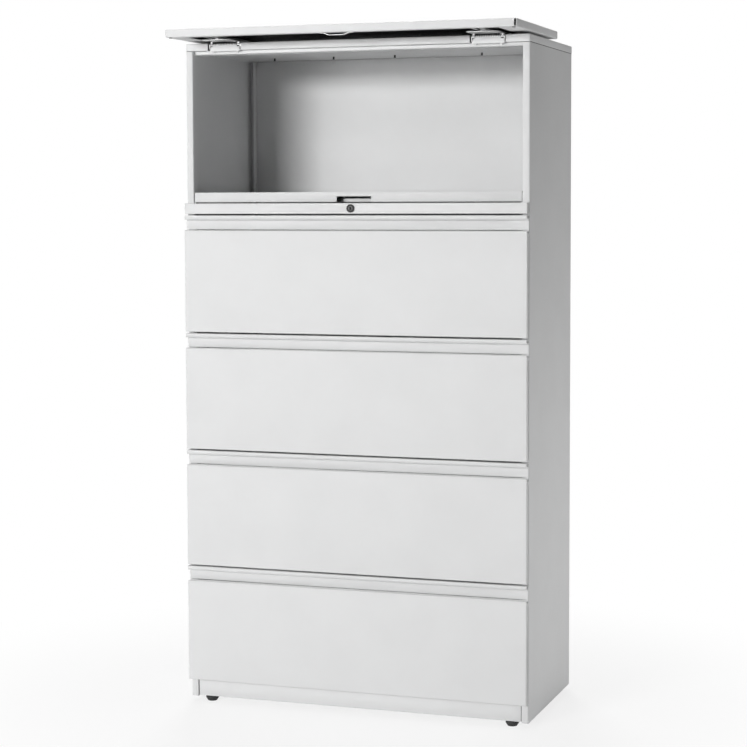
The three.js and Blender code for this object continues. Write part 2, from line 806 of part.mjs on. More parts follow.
const doorInner = halfFront - sheet;
const doorTop = zDoor + doorThickness;
const slotX = [doorInner - doorSlot, doorInner];
const slotZ = [zDoor - 1, doorTop - sheet];
const slotsAt = (y) => [slotX, [-slotX[1], -slotX[0]]].map((x) => box(x, y, slotZ));
const doorPan = cut(
  box([-halfFront, halfFront], [doorFront, doorBack], [zDoor, doorTop]),
  box([-doorInner, doorInner], [doorFront + sheet, doorBack - sheet], [zDoor + sheet, doorTop - sheet]),
  box(
    [doorSideLip - halfFront, halfFront - doorSideLip],
    [doorFront + doorEndLip, doorBack - doorEndLip],
    [zDoor - 1, zDoor + 2 * sheet],
  ),
  ...slotsAt([doorFront - 1, doorFront + sheet + 0.1]),
  ...slotsAt([doorBack - sheet - 0.1, doorBack + 1]),
  ...[[zDoor, 1], [doorTop, -1]].flatMap(([z, up]) => [
    rounder('x', [doorFront, z], [1, up], doorRadius, -halfFront - 1, halfFront + 1),
    rounder('x', [doorBack, z], [-1, up], doorRadius, -halfFront - 1, halfFront + 1),
    rounder('y', [-halfFront, z], [1, up], doorRadius, doorFront - 1, doorBack + 1),
    rounder('y', [halfFront, z], [-1, up], doorRadius, doorFront - 1, doorBack + 1),
  ]),
);
add('door_outer_pan', doorPan, paint);

const coreHalf = doorInner - seam;
const core = box(
  [-coreHalf, coreHalf],
  [doorFront + sheet + seam, doorBack - sheet - seam],
  [zDoor + doorCore, zDoor + doorCore + sheet],
);
add('door_inner_pan', core, darkPaint);

const trackY = [doorFront + doorEndLip + 0.5, doorBack - doorEndLip - 0.5];
const trackTop = zDoor + Math.min(trackHeight, doorCore - seam);
const trackHalf = trackWidth / 2;
const trackMouth = neckWidth / 2 + 1.5;
const track = (x) => prism('y', [
  [x - trackMouth, zDoor],
  [x - trackMouth, zDoor + sheet],
  [x - trackHalf + sheet, zDoor + sheet],
  [x - trackHalf + sheet, trackTop - sheet],
  [x + trackHalf - sheet, trackTop - sheet],
  [x + trackHalf - sheet, zDoor + sheet],
  [x + trackMouth, zDoor + sheet],
  [x + trackMouth, zDoor],
  [x + trackHalf, zDoor],
  [x + trackHalf, trackTop],
  [x - trackHalf, trackTop],
  [x - trackHalf, zDoor],
], ...trackY);
add('left_door_track', track(hingePlaces[0]), zinc);
add('right_door_track', track(hingePlaces[1]), zinc);

const bowHalf = pullBowWidth / 2;
const bowFoot = 10;
const bowLine = [
  [-bowHalf - bowFoot, zDoor - seam],
  [-bowHalf, zDoor - seam],
  [-bowHalf * 0.6, zDoor - seam - pullBowDrop],
  [bowHalf * 0.6, zDoor - seam - pullBowDrop],
  [bowHalf, zDoor - seam],
  [bowHalf + bowFoot, zDoor - seam],
];
const bow = prism('y', fold(bowLine.reverse(), 6), doorFront + 2, doorFront + 2 + pullBowDepth);
add('door_pull', bow, zinc);

const bumperX = halfCase - edgeWidth / 2 - 1;
const bumperHeight = frontProud - doorThickness - 2 * seam;
for (const [name, x] of [['left_door_bumper', -bumperX], ['right_door_bumper', bumperX]]) {
  const pad = circle(x, doorFront + bumperInset, bumperRadius, 12);
  add(name, prism('z', pad, zDoor - seam - bumperHeight, zDoor - seam), rubber);
}

// Hinges: a bracket with a pin in each notch of the cap, a torsion spring on the pin, and a
// carriage whose leaf turns on the pin and whose shoe runs in the door's track

const springOut = springRadius + springWire;
const earSteel = 2;
const earInner = hingeWidth / 2 - earSteel;
const knuckleX = [earInner - runGap - knuckleWidth, earInner - runGap];
const earRadius = pinRadius + 2.1;
const earOutline = soften([
  [yPin - earRadius, zPin + earRadius, earRadius - 0.1],
  [yPin + earRadius, zPin + earRadius, earRadius - 0.1],
  [yPin + earRadius, zPin - 1],
  [yPin + hingeDepth, zCap + hingePlate + 1],
  [yPin + hingeDepth, zCap],
  [yPin - 1, zCap],
  [yPin - earRadius, zPin - 6],
]);
const leafBottom = zDoor - leafGap - leafSteel;
const leafFront = yPin - leafReach;
const shoeBack = yPin + (zTop - zPin) - doorEndLip - 2;
const shoeFront = shoeBack - shoeLength;
const shoeZ = [zDoor + sheet + runGap, trackTop - sheet - runGap];
const shoeHalf = trackHalf - sheet - runGap;
const springHalf = knuckleX[0] - 1.5 - springWire;

const footX = hingeWidth / 2 - hingeFootInset;
const hingeBlock = (x) => join(
  box([x - hingeWidth / 2, x + hingeWidth / 2], [yPin - 1, yPin + hingeDepth], [zCap, zCap + hingePlate]),
  box([x - hingeWidth / 2, x + hingeWidth / 2], [yPin - 1, yPin + 1], [zCap - 2.5, zPin - springOut - 0.5]),
  ...[-footX, footX].map((at) => box(
    [x + at - hingeFoot / 2, x + at + hingeFoot / 2],
    [yPin - 0.8, yPin + 0.8],
    [zCap - hingeFoot, zCap - 2],
  )),
  prism('x', earOutline, x - hingeWidth / 2, x - earInner),
  prism('x', earOutline, x + earInner, x + hingeWidth / 2),
  prism('x', circle(yPin, zPin, pinRadius, 12), x - earInner - 1, x + earInner + 1),
);

const carriage = (x) => {
  const leafOutline = soften([
    [x - knuckleX[1], leafFront, 6],
    [x + knuckleX[1], leafFront, 6],
    [x + knuckleX[1], yPin + 4],
    [x - knuckleX[1], yPin + 4],
  ]);
  const knuckles = [[-knuckleX[1], -knuckleX[0]], knuckleX].flatMap(([a, b]) => [
    prism('x', circle(yPin, zPin, knuckleRadius, 16), x + a, x + b),
    box([x + a, x + b], [yPin - 3.5, yPin + 3.5], [zPin, leafBottom + leafSteel / 2]),
  ]);
  return cut(
    join(
      prism('z', leafOutline, leafBottom, leafBottom + leafSteel),
      box(
        [x - neckWidth / 2, x + neckWidth / 2],
        [shoeFront + 2, shoeBack - 2],
        [leafBottom + 0.5, shoeZ[0] + 0.5],
      ),
      box([x - shoeHalf, x + shoeHalf], [shoeFront, shoeBack], shoeZ),
      ...knuckles,
    ),
    prism('x', circle(yPin, zPin, pinRadius + seam, 12), x - hingeWidth, x + hingeWidth),
  );
};

const springTurns = Math.floor((2 * springHalf) / springPitch);
const springPoints = (x) => {
  const start = x - (springTurns * springPitch) / 2;
  const at = (angle) => new THREE.Vector3(
    start + (springPitch * angle) / (2 * Math.PI),
    yPin + springRadius * Math.cos(angle),
    zPin + springRadius * Math.sin(angle),
  );
  const end = 2 * Math.PI * springTurns;
  const steps = 8 * springTurns;
  const coil = Array.from({ length: steps + 1 }, (_, k) => at((end * k) / steps));
  const foot = new THREE.Vector3(coil[0].x, coil[0].y, zCap + hingePlate + seam);
  const head = new THREE.Vector3(coil[steps].x, coil[steps].y, leafBottom - 2 * seam);
  return [foot, foot.clone().setZ(foot.z + 2 * springWire), ...coil, head];
};

const sides = [['left', hingePlaces[0]], ['right', hingePlaces[1]]];
for (const [side, x] of sides) {
  add(`${side}_hinge_block`, hingeBlock(x), zinc);
  add(`${side}_hinge_spring`, wire(springPoints(x), springWire), springSteel);
  add(`${side}_door_carriage`, carriage(x), zinc);
}

// Least gap between turns of the spring, on points more than half a turn apart
const turn = springPoints(0);
let leastGap = Infinity;
turn.forEach((a, i) => turn.slice(i + 5).forEach((b) => {
  leastGap = Math.min(leastGap, a.distanceTo(b) - 2 * springWire);
}));
console.log(`hinge spring, least gap between turns: ${leastGap.toFixed(2)} mm`);
console.log(`door travel: ${doorTravel.toFixed(2)} mm, link travel: ${linkTravel.toFixed(3)} mm`);

export default cabinet;
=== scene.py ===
# Lateral filing cabinet: finishes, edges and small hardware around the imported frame.
# Metres, +Z up, +Y to the back. The floor is z = 0.

import json
import math
from contextlib import contextmanager

import bmesh
import bpy
from mathutils import Euler, Matrix, Vector

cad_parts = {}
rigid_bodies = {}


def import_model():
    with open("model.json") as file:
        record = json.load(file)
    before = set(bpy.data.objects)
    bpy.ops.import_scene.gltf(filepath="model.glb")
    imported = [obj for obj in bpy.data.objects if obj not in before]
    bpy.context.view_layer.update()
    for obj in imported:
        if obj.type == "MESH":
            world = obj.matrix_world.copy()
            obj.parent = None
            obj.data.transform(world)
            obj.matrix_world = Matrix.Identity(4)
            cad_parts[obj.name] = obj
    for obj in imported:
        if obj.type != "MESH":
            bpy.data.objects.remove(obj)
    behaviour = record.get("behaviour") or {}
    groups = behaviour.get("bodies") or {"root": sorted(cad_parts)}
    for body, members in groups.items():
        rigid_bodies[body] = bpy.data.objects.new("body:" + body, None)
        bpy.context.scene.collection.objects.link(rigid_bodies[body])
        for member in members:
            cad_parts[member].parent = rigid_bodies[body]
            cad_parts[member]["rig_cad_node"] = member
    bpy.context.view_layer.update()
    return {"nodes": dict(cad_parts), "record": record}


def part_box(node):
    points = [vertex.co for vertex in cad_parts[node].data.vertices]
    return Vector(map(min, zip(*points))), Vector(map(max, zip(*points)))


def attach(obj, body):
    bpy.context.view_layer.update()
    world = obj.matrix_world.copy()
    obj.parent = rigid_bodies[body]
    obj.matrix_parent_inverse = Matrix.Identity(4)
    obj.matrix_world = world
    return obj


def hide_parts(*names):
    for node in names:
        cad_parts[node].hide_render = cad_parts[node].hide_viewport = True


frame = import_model()
bpy.ops.object.select_all(action="DESELECT")

MM = 0.001
scene = bpy.context.scene
scene.view_settings.view_transform = "Standard"

# Camera at the photograph's view

CAMERA_PLACE = (1.678, -4.874, 1.311)
CAMERA_TURN = math.radians(19.01)
CAMERA_TILT = math.radians(-4.074)
CAMERA_ROLL = math.radians(-0.178)
CAMERA_LENS = 95.58
CAMERA_SHIFT = -0.0402


def make_camera():
    bpy.ops.object.camera_add(location=CAMERA_PLACE)
    camera = bpy.context.object
    camera.name = "camera"
    aim = Euler((math.pi / 2 + CAMERA_TILT, 0, CAMERA_TURN)).to_matrix()
    camera.rotation_euler = (aim @ Matrix.Rotation(CAMERA_ROLL, 3, "Z")).to_euler()
    camera.data.lens = CAMERA_LENS
    camera.data.sensor_width = 36
    camera.data.shift_y = CAMERA_SHIFT
    camera.data.clip_end = 100
    scene.camera = camera


# Stage and light

WORLD_AMBIENT = 0.015
FLOOR_TONE = 0.93
FLOOR_GLOW = 0.8


def tree_of(owner):
    owner.use_nodes = True
    owner.node_tree.nodes.clear()
    return owner.node_tree


def seen_rays(tree):
    """1 for rays from the camera, in a mirror or through glass, else 0."""
    path = tree.nodes.new("ShaderNodeLightPath")
    either = tree.nodes.new("ShaderNodeMath")
    either.operation = "MAXIMUM"
    tree.links.new(path.outputs["Is Camera Ray"], either.inputs[0])
    tree.links.new(path.outputs["Is Glossy Ray"], either.inputs[1])
    all_three = tree.nodes.new("ShaderNodeMath")
    all_three.operation = "MAXIMUM"
    tree.links.new(either.outputs[0], all_three.inputs[0])
    tree.links.new(path.outputs["Is Transmission Ray"], all_three.inputs[1])
    return all_three.outputs[0]


def make_world():
    world = bpy.data.worlds.new("white_studio")
    scene.world = world
    tree = tree_of(world)
    ambient = tree.nodes.new("ShaderNodeBackground")
    ambient.inputs["Strength"].default_value = WORLD_AMBIENT
    backdrop = tree.nodes.new("ShaderNodeBackground")
    for shade in (ambient, backdrop):
        shade.inputs["Color"].default_value = (1, 1, 1, 1)
    mix = tree.nodes.new("ShaderNodeMixShader")
    out = tree.nodes.new("ShaderNodeOutputWorld")
    tree.links.new(seen_rays(tree), mix.inputs[0])
    tree.links.new(ambient.outputs[0], mix.inputs[1])
    tree.links.new(backdrop.outputs[0], mix.inputs[2])
    tree.links.new(mix.outputs[0], out.inputs[0])


def make_floor():
    bpy.ops.mesh.primitive_plane_add(size=40)
    floor = bpy.context.object
    floor.name = "floor"
    material = bpy.data.materials.new("pale_floor")
    floor.data.materials.append(material)
    tree = tree_of(material)
    matt = tree.nodes.new("ShaderNodeBsdfDiffuse")
    matt.inputs["Color"].default_value = (FLOOR_TONE, FLOOR_TONE, FLOOR_TONE, 1)
    glow = tree.nodes.new("ShaderNodeEmission")
    place = tree.nodes.new("ShaderNodeTexCoord")
    reach = tree.nodes.new("ShaderNodeVectorMath")
    reach.operation = "LENGTH"
    fade = tree.nodes.new("ShaderNodeMapRange")
    fade.interpolation_type = "SMOOTHSTEP"
    fade.inputs["From Min"].default_value = 0.55
    fade.inputs["From Max"].default_value = 1.5
    fade.inputs["To Min"].default_value = FLOOR_GLOW
    far = tree.nodes.new("ShaderNodeMath")
    far.operation = "MULTIPLY"
    mix = tree.nodes.new("ShaderNodeMixShader")
    out = tree.nodes.new("ShaderNodeOutputMaterial")
    tree.links.new(place.outputs["Object"], reach.inputs[0])
    tree.links.new(reach.outputs["Value"], fade.inputs["Value"])
    tree.links.new(fade.outputs["Result"], far.inputs[0])
    tree.links.new(seen_rays(tree), far.inputs[1])
    tree.links.new(far.outputs[0], mix.inputs[0])
    tree.links.new(matt.outputs[0], mix.inputs[1])
    tree.links.new(glow.outputs[0], mix.inputs[2])
    tree.links.new(mix.outputs[0], out.inputs["Surface"])


def soft_box(name, place, target, width, height, power):
    bpy.ops.object.light_add(type="AREA", location=place)
    lamp = bpy.context.object
    lamp.name = name
    lamp.rotation_euler = (Vector(target) - Vector(place)).to_track_quat("-Z", "Y").to_euler()
    lamp.data.shape = "RECTANGLE"
    lamp.data.size = width
    lamp.data.size_y = height
    lamp.data.energy = power


def make_lights():
    soft_box("key_light", (-3.1, -9.5, 2.8), (0.0, 0.0, 0.85), 3.0, 1.2, 575)
    soft_box("high_key_light", (-2.4, -8.4, 5.2), (0.0, 0.0, 0.85), 3.0, 1.2, 60)
    soft_box("low_key_light", (-4.55, -8.9, 1.55), (0.0, 0.0, 0.85), 3.0, 0.9, 170)
    soft_box("side_light", (2.4, -0.12, 0.34), (0.45, 0.05, 0.7), 1.4, 0.5, 13.5)
    soft_box("top_light", (0.0, -0.3, 4.4), (0.0, 0.0, 0.85), 2.4, 2.0, 42)
    soft_box("back_light", (-1.6, 4.6, 3.4), (0.0, 0.2, 0.8), 2.0, 2.0, 185)


# Finishes

class Finish:
    """A principled material that reads a piece's own coordinates."""

    def __init__(self, name):
        self.material = bpy.data.materials.new(name)
        self.tree = tree_of(self.material)
        self.shader = self.node("ShaderNodeBsdfPrincipled")
        out = self.node("ShaderNodeOutputMaterial")
        self.link(self.shader.outputs[0], out.inputs["Surface"])
        self.place = self.node("ShaderNodeTexCoord").outputs["Object"]

    def node(self, kind, **settings):
        made = self.tree.nodes.new(kind)
        for key, value in settings.items():
            setattr(made, key, value)
        return made

    def link(self, source, socket):
        self.tree.links.new(source, socket)

    def set(self, **values):
        for key, value in values.items():
            self.shader.inputs[key.replace("_", " ")].default_value = value

    def noise(self, scale, detail=2.0, stretch=(1, 1, 1)):
        turned = self.node("ShaderNodeMapping")
        turned.inputs["Scale"].default_value = stretch
        self.link(self.place, turned.inputs["Vector"])
        grain = self.node("ShaderNodeTexNoise")
        grain.inputs["Scale"].default_value = scale
        grain.inputs["Detail"].default_value = detail
        self.link(turned.outputs["Vector"], grain.inputs["Vector"])
        return grain.outputs["Fac"]

    def ramp(self, value, low, high, spread=(0.35, 0.65)):
        span = self.node("ShaderNodeMapRange")
        span.inputs["From Min"].default_value = spread[0]
        span.inputs["From Max"].default_value = spread[1]
        span.inputs["To Min"].default_value = low
        span.inputs["To Max"].default_value = high
        self.link(value, span.inputs["Value"])
        return span.outputs["Result"]

    def tint(self, value, dark, light):
        mix = self.node("ShaderNodeMix", data_type="RGBA")
        mix.inputs["A"].default_value = (*dark, 1)
        mix.inputs["B"].default_value = (*light, 1)
        self.link(self.ramp(value, 0, 1), mix.inputs["Factor"])
        self.link(mix.outputs["Result"], self.shader.inputs["Base Color"])

    def rough(self, value, low, high):
        self.link(self.ramp(value, low, high), self.shader.inputs["Roughness"])

    def bump(self, value, depth, strength=1.0):
        relief = self.node("ShaderNodeBump")
        relief.inputs["Distance"].default_value = depth
        relief.inputs["Strength"].default_value = strength
        self.link(value, relief.inputs["Height"])
        self.link(relief.outputs["Normal"], self.shader.inputs["Normal"])


def grey(tone):
    return (tone, tone * 1.004, tone * 1.006)


def powder_coat(name, tone):
    """Satin powder coat: faint clouding, a fine orange peel and an uneven gloss."""
    coat = Finish(name)
    coat.tint(coat.noise(7, 3), grey(tone * 0.985), grey(tone * 1.012))
    coat.rough(coat.noise(140, 2), 0.54, 0.66)
    coat.bump(coat.noise(1300, 1), 0.06 * MM, 0.35)
    coat.set(IOR=1.4)
    return coat.material


def zinc_plate(name, tone, rough=(0.24, 0.40)):
    """Bright zinc on rolled steel, drawn along the length of the slides."""
    plate = Finish(name)
    plate.tint(plate.noise(60, 4, (1, 0.15, 1)), grey(tone * 0.86), grey(tone * 1.04))
    plate.rough(plate.noise(220, 3, (1, 0.08, 1)), *rough)
    plate.bump(plate.noise(900, 2, (1, 0.05, 1)), 0.02 * MM, 0.4)
    plate.set(Metallic=1.0)
    return plate.material


def black_nickel(name, tone):
    """Dull dark plating with turning marks that have worn a little lighter."""
    plate = Finish(name)
    plate.tint(plate.noise(420, 3), grey(tone * 0.7), grey(tone * 1.2))
    plate.rough(plate.noise(300, 2), 0.58, 0.72)
    plate.bump(plate.noise(1500, 2), 0.02 * MM, 0.4)
    plate.set(Metallic=0.3, IOR=1.4)
    return plate.material


def rubber_moulding(name):
    moulding = Finish(name)
    moulding.tint(moulding.noise(180, 3), (0.012, 0.012, 0.013), (0.022, 0.022, 0.023))
    moulding.rough(moulding.noise(400, 2), 0.55, 0.75)
    moulding.bump(moulding.noise(1600, 2), 0.05 * MM, 0.4)
    return moulding.material


PAINT_TONE = 0.68

finishes = {
    "paint": powder_coat("grey_powder_coat", PAINT_TONE),
    # Near-black coat: on the joint strips and the ceiling hooks it is painted shade; it also goes on the
    # pieces that the record puts in this slot.
    "dark_paint": powder_coat("near_black_and_painted_shade_coat", 0.035),
    "zinc": zinc_plate("zinc_plate", 0.55, (0.32, 0.48)),
    "spring_steel": zinc_plate("spring_wire", 0.85, (0.34, 0.50)),
    "lock_metal": black_nickel("dark_lock_nickel", 0.045),
    "rubber": rubber_moulding("black_rubber"),
}
# The rounded edges of painted pieces get a coat 6 % lighter: a painted highlight along the edges.
edge_highlight_coat = powder_coat("powder_coat_painted_edge_highlight", PAINT_TONE * 1.06)
plug_nickel = black_nickel("satin_plug_nickel", 0.14)

# Hand tools


def take(piece):
    """Makes a piece the only one selected."""
    bpy.ops.object.select_all(action="DESELECT")
    piece.select_set(True)
    bpy.context.view_layer.objects.active = piece
    return piece


@contextmanager
def editing(piece):
    take(piece)
    bpy.ops.object.mode_set(mode="EDIT")
    bpy.ops.mesh.select_mode(type="VERT")
    bpy.ops.mesh.select_all(action="SELECT")
    yield
    bpy.ops.object.mode_set(mode="OBJECT")


def pick_faces(piece, test):
    """Selects the faces whose middle and normal pass a test."""
    bpy.ops.mesh.select_mode(type="FACE")
    bpy.ops.mesh.select_all(action="DESELECT")
    work = bmesh.from_edit_mesh(piece.data)
    for face in work.faces:
        face.select_set(bool(test(face.calc_center_median(), face.normal)))
    bmesh.update_edit_mesh(piece.data)


def pick_rim(piece, test):
    """Selects the open edges whose middle passes a test."""
    bpy.ops.mesh.select_mode(type="EDGE")
    bpy.ops.mesh.select_all(action="DESELECT")
    work = bmesh.from_edit_mesh(piece.data)
    for edge in work.edges:
        middle = (edge.verts[0].co + edge.verts[1].co) / 2
        edge.select_set(edge.is_boundary and bool(test(middle)))
    bmesh.update_edit_mesh(piece.data)


def extrude(move):
    bpy.ops.mesh.extrude_region_move(TRANSFORM_OT_translate={"value": move})


def slice_at(place, normal):
    """Adds a line of edges where a plane crosses the piece in hand."""
    bpy.ops.mesh.select_all(action="SELECT")
    bpy.ops.mesh.bisect(plane_co=place, plane_no=normal)


def apply_modifier(piece, kind, **settings):
    take(piece)
    tool = piece.modifiers.new(kind.lower(), kind)
    for key, value in settings.items():
        setattr(tool, key, value)
    bpy.ops.object.modifier_apply(modifier=tool.name)


def merge_slivers(piece):
    """Takes out the slivers that a cut or a rounding leaves."""
    with editing(piece):
        bpy.ops.mesh.remove_doubles(threshold=0.002 * MM)
        bpy.ops.mesh.select_all(action="SELECT")
        bpy.ops.mesh.dissolve_degenerate(threshold=0.002 * MM)


def ease(piece, width, steps=2, smooth=35, material=-1):
    """Rounds a piece's sharp edges."""
    apply_modifier(
        piece,
        "BEVEL",
        width=width,
        segments=steps,
        limit_method="ANGLE",
        angle_limit=math.radians(38),
        use_clamp_overlap=True,
        material=material,
    )
    merge_slivers(piece)
    bpy.ops.object.shade_smooth_by_angle(angle=math.radians(smooth))


def cut_away(piece, cutter):
    apply_modifier(piece, "BOOLEAN", object=cutter, operation="DIFFERENCE", solver="EXACT")
    bpy.data.objects.remove(cutter)
    merge_slivers(piece)


def seat(piece, place=(0, 0, 0), turn=(0, 0, 0)):
    """Turns and moves a piece, and leaves its object at the origin."""
    take(piece)
    piece.rotation_euler = turn
    piece.location = place
    bpy.ops.object.transform_apply(location=True, rotation=True, scale=True)
    return piece


def copy_to(piece, name, place, turn=(0, 0, 0)):
    """A copy with a mesh of its own, turned and moved from where the first piece is."""
    take(piece)
    bpy.ops.object.duplicate()
    copy = bpy.context.object
    copy.name = name
    return seat(copy, place, turn)


def joined(pieces, name):
    take(pieces[0])
    for piece in pieces:
        piece.select_set(True)
    bpy.ops.object.join()
    pieces[0].name = name
    return pieces[0]


def block(name, low, high):
    """A block between two corners, to start from."""
    low, high = Vector(low), Vector(high)
    bpy.ops.object.select_all(action="DESELECT")
    bpy.ops.mesh.primitive_cube_add(size=1, location=(low + high) / 2, scale=high - low)
    bpy.ops.object.transform_apply(location=True, rotation=True, scale=True)
    piece = bpy.context.object
    piece.name = name
    return piece


def arc(centre, radius, start, end, steps=6):
    """Points of (radius, height) along a round stretch of a profile, between two angles in degrees."""
    angles = [math.radians(start + (end - start) * k / steps) for k in range(steps + 1)]
    return [(centre[0] + radius * math.cos(a), centre[1] + radius * math.sin(a)) for a in angles]


def turned(name, profile, sides=48, smooth=35):
    """Draws a profile of (radius, height) out from one point and spins it about the Z axis."""
    bpy.ops.object.select_all(action="DESELECT")
    bpy.ops.mesh.primitive_plane_add(size=MM)
    piece = bpy.context.object
    piece.name = name
    with editing(piece):
        bpy.ops.mesh.merge(type="CENTER")
        reach, height = profile[0]
        bpy.ops.transform.translate(value=(reach, 0, height))
        for far, up in profile[1:]:
            move = (far - reach, 0, up - height)
            bpy.ops.mesh.extrude_vertices_move(TRANSFORM_OT_translate={"value": move})
            reach, height = far, up
        bpy.ops.mesh.select_all(action="SELECT")
        bpy.ops.mesh.spin(steps=sides, angle=2 * math.pi, center=(0, 0, 0), axis=(0, 0, 1))
        bpy.ops.mesh.select_all(action="SELECT")
        bpy.ops.mesh.remove_doubles(threshold=0.001 * MM)
        bpy.ops.mesh.normals_make_consistent(inside=False)
    take(piece)
    bpy.ops.object.shade_smooth_by_angle(angle=math.radians(smooth))
    return piece


# The record's bodies and finishes

slot_of = {part["node"]: part["material_slot"] for part in frame["record"]["subparts"]}
body_of = {node: body for body, nodes in frame["record"]["behaviour"]["bodies"].items() for node in nodes}
joint_of = {joint["name"]: joint for joint in frame["record"]["behaviour"]["joints"]}


def dress(piece, body, slot, finish=None):
    """Gives a new piece its finish and the body that it moves with."""
    piece.data.materials.clear()
    piece.data.materials.append(finish or finishes[slot])
    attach(piece, body)
    return piece


def middle(node):
    low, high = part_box(node)
    return (low + high) / 2


# CAD pieces with their edges eased

EDGE_EASE = 0.35 * MM
SHEET = 1.2 * MM
SEAM_RISE = 1.5 * MM
SEAM_DEPTH = 4 * MM
STRIP_IN = 0.65 * MM
STRIP_OUT = 0.15 * MM
STRIP_EASE = 0.1 * MM
DOOR_SLOT = 5 * MM
FOOT_DRAW = 0.4 * MM
SHADE_STRIP_PLAY = 0.05 * MM
SHADE_STRIP_SINK = 0.8 * MM
SHADE_STRIP_DEPTH = 3.5 * MM
LATCH_BACK = 58 * MM
LATCH_HALF = 43 * MM
LATCH_FOOT = 9.7 * MM
LATCH_HEAD = 19 * MM


def open_cap_seam(panel, node):
    """Cuts the joint under the cap into the front edge of a side panel."""
    low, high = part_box(node)
    cutter = block(
        "seam",
        (low.x - MM, low.y - MM, high.z - SEAM_RISE),
        (high.x + MM, low.y + SEAM_DEPTH, high.z + MM),
    )
    cut_away(panel, cutter)


def painted_shade_strip(name, low, high):
    """A dark strip with rounded edges that closes a joint of the case: painted shade in place of the
    joint's shadow.
    """
    strip = block(name, low, high)
    ease(strip, STRIP_EASE)
    dress(strip, "case", "dark_paint")


def joint_strips(side):
    """Painted shade strips between the cap and a side panel, and between the toe kick's end and that
    panel.
    """
    low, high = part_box(f"{side}_side_panel")
    toe_low, toe_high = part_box("toe_kick")
    if side == "right":
        outer = (high.x - STRIP_IN, high.x - STRIP_OUT)
        gap = (toe_high.x, low.x)
    else:
        outer = (low.x + STRIP_OUT, low.x + STRIP_IN)
        gap = (high.x, toe_low.x)
    painted_shade_strip(
        f"{side}_joint_strip",
        (outer[0], low.y + SEAM_DEPTH, high.z - SEAM_RISE),
        (outer[1], high.y - SEAM_DEPTH, high.z),
    )
    painted_shade_strip(
        f"{side}_toe_shade_strip",
        (gap[0] + SHADE_STRIP_PLAY, toe_low.y + SHADE_STRIP_SINK, toe_low.z + SHADE_STRIP_SINK),
        (gap[1] - SHADE_STRIP_PLAY, toe_low.y + SHADE_STRIP_DEPTH, toe_high.z - SHADE_STRIP_SINK),
    )


def back_strip():
    """A dark strip in the joint between the back and the cap: painted shade for the joint."""
    low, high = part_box("back_panel")
    cap_low, cap_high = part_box("top_panel")
    painted_shade_strip(
        "back_joint_strip",
        (low.x + SHADE_STRIP_SINK, low.y + SHADE_STRIP_PLAY, high.z),
        (high.x - SHADE_STRIP_SINK, high.y - SHADE_STRIP_PLAY, cap_low.z),
    )


def open_latch_slot(shelf):
    """Cuts the slot for the door's latch into the wall behind the shelf's finger notch."""
    low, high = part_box("roll_out_shelf")
    wall = low.y + LATCH_BACK
    cutter = block(
        "latch",
        (-LATCH_HALF, wall - 2 * SHEET, low.z + LATCH_FOOT),
        (LATCH_HALF, wall + 2 * SHEET, low.z + LATCH_HEAD),
    )
    cut_away(shelf, cutter)


def slot_filler():
    """A painted filler in the slot at the door's left front corner, drawn in at its foot."""
    low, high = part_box("door_outer_pan")
    slot = low.x + SHEET
    filler = block(
        "left_slot_filler",
        (slot, low.y, low.z + SHEET),
        (slot + DOOR_SLOT, low.y + SHEET, high.z - SHEET),
    )
    with editing(filler):
        slice_at((0, 0, low.z + 2 * SHEET), (0, 0, 1))
        pick_faces(filler, lambda spot, normal: normal.z < -0.9)
        bpy.ops.transform.translate(value=(0, FOOT_DRAW, 0))
    ease(filler, 0.2 * MM)
    dress(filler, body_of["door_outer_pan"], "paint")


def finished_copy(node):
    """A copy of a node, merged, with eased edges and smooth bends, that stands for it."""
    take(frame["nodes"][node])
    bpy.ops.object.duplicate()
    copy = bpy.context.object
    del copy["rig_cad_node"]
    copy.name = f"{node}_finished"
    with editing(copy):
        bpy.ops.mesh.customdata_custom_splitnormals_clear()
        bpy.ops.mesh.remove_doubles(threshold=0.01 * MM)
        bpy.ops.mesh.dissolve_limited(angle_limit=math.radians(0.6))
    if node.endswith("_side_panel"):
        open_cap_seam(copy, node)
    if node == "roll_out_shelf":
        open_latch_slot(copy)
    copy.data.materials.clear()
    copy.data.materials.append(finishes[slot_of[node]])
    # The rounded edges of painted pieces take the lighter coat, a painted highlight.
    painted = slot_of[node] == "paint"
    if painted:
        copy.data.materials.append(edge_highlight_coat)
    ease(copy, EDGE_EASE, material=1 if painted else -1)
    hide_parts(node)
    return copy


# Hinges: springs, spring covers and the screws of the carriages

SPRING_TURNS = 14
SPRING_PITCH = 4.4 * MM
SPRING_RADIUS = 3.45 * MM
SPRING_WIRE = 0.95 * MM


def hinge_spring(node):
    """A wire ring swept along its pin as a coil, with a straight leg drawn out of each end."""
    pin = Vector(joint_of["door_hinge"]["pos_m"])
    low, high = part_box(node)
    length = SPRING_TURNS * SPRING_PITCH
    start = (low.x + high.x - length) / 2
    bpy.ops.object.select_all(action="DESELECT")
    bpy.ops.mesh.primitive_circle_add(vertices=10, radius=SPRING_WIRE, location=(start, pin.y, pin.z))
    spring = bpy.context.object
    spring.name = f"{node}_coil"
    with editing(spring):
        bpy.ops.transform.translate(value=(0, SPRING_RADIUS, 0))
    apply_modifier(
        spring,
        "SCREW",
        axis="X",
        angle=2 * math.pi,
        screw_offset=SPRING_PITCH,
        iterations=SPRING_TURNS,
        steps=20,
        render_steps=20,
    )
    seat(spring, (start, pin.y, pin.z))
    ends = [(start, low.z - pin.z), (start + length, high.z - pin.z)]
    with editing(spring):
        for x, leg in ends:
            pick_rim(spring, lambda spot: abs(spot.x - x) < 2 * SPRING_WIRE)
            bpy.ops.mesh.edge_face_add()
            extrude((0, 0, leg))
        bpy.ops.mesh.select_all(action="SELECT")
        bpy.ops.mesh.normals_make_consistent(inside=False)
    bpy.ops.object.shade_smooth_by_angle(angle=math.radians(50))
    dress(spring, body_of[node], "spring_steel")
    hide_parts(node)


